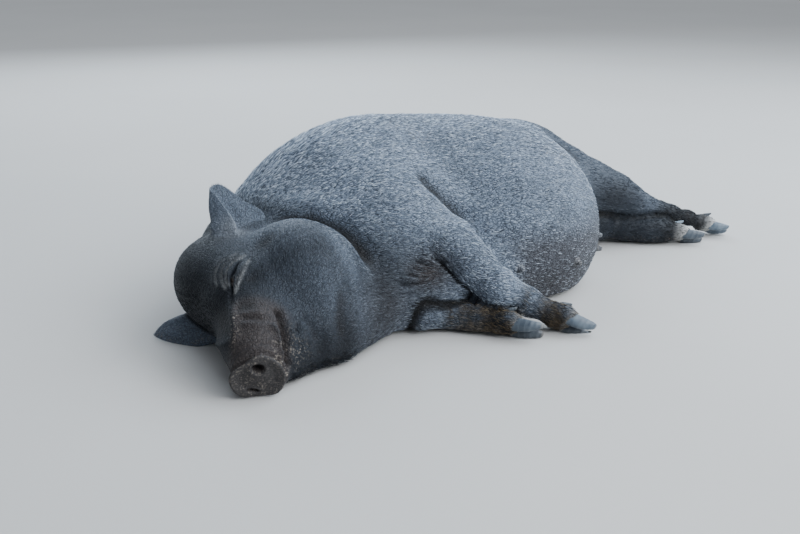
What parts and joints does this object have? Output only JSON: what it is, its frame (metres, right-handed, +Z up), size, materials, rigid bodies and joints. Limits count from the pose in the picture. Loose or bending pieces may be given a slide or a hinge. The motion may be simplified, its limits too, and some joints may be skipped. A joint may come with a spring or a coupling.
{
  "type": "sleeping pot-bellied sow",
  "caption": "Black pot-bellied sow asleep on her right side, life size: big belly, wrinkled jowled face, flat snout disc, small upright ears, short legs and split hooves.",
  "frame": {"origin": "on the floor, under the middle of the sow's bounding box", "axes": "+Z up; +X along the body from head to rump; +Y towards her back, so her belly and legs point along -Y; her left side is on top"},
  "size_m": [1.1242, 0.6042, 0.2687],
  "materials": {
    "skin": "blue-black hide with a fine net of creases and a short, thin, flat black coat; dusty in the folds",
    "snout": "bare grey-black skin, finely pitted, satin, dusted with sand",
    "horn": "slate-grey hoof horn, satin, with fine growth rings and scuffs",
    "eye": "wet, nearly black eyeball, hidden behind closed lids"
  },
  "bodies": {
    "root": {"trunk": "skin", "neck": "skin", "head": "skin", "snout": "snout", "tail": "skin", "ear_left": "skin", "ear_right": "skin", "foreleg_left": "skin", "foreleg_right": "skin", "hindleg_left": "skin", "hindleg_right": "skin", "forefoot_left": "skin", "forefoot_right": "skin", "hindfoot_left": "skin", "hindfoot_right": "skin", "claw_forefoot_left_upper": "horn", "dewclaw_forefoot_left_upper": "horn", "claw_forefoot_left_lower": "horn", "dewclaw_forefoot_left_lower": "horn", "claw_forefoot_right_upper": "horn", "dewclaw_forefoot_right_upper": "horn", "claw_forefoot_right_lower": "horn", "dewclaw_forefoot_right_lower": "horn", "claw_hindfoot_left_upper": "horn", "dewclaw_hindfoot_left_upper": "horn", "claw_hindfoot_left_lower": "horn", "dewclaw_hindfoot_left_lower": "horn", "claw_hindfoot_right_upper": "horn", "dewclaw_hindfoot_right_upper": "horn", "claw_hindfoot_right_lower": "horn", "dewclaw_hindfoot_right_lower": "horn", "eye_left": "eye", "eye_right": "eye"}
  },
  "joints": []
}
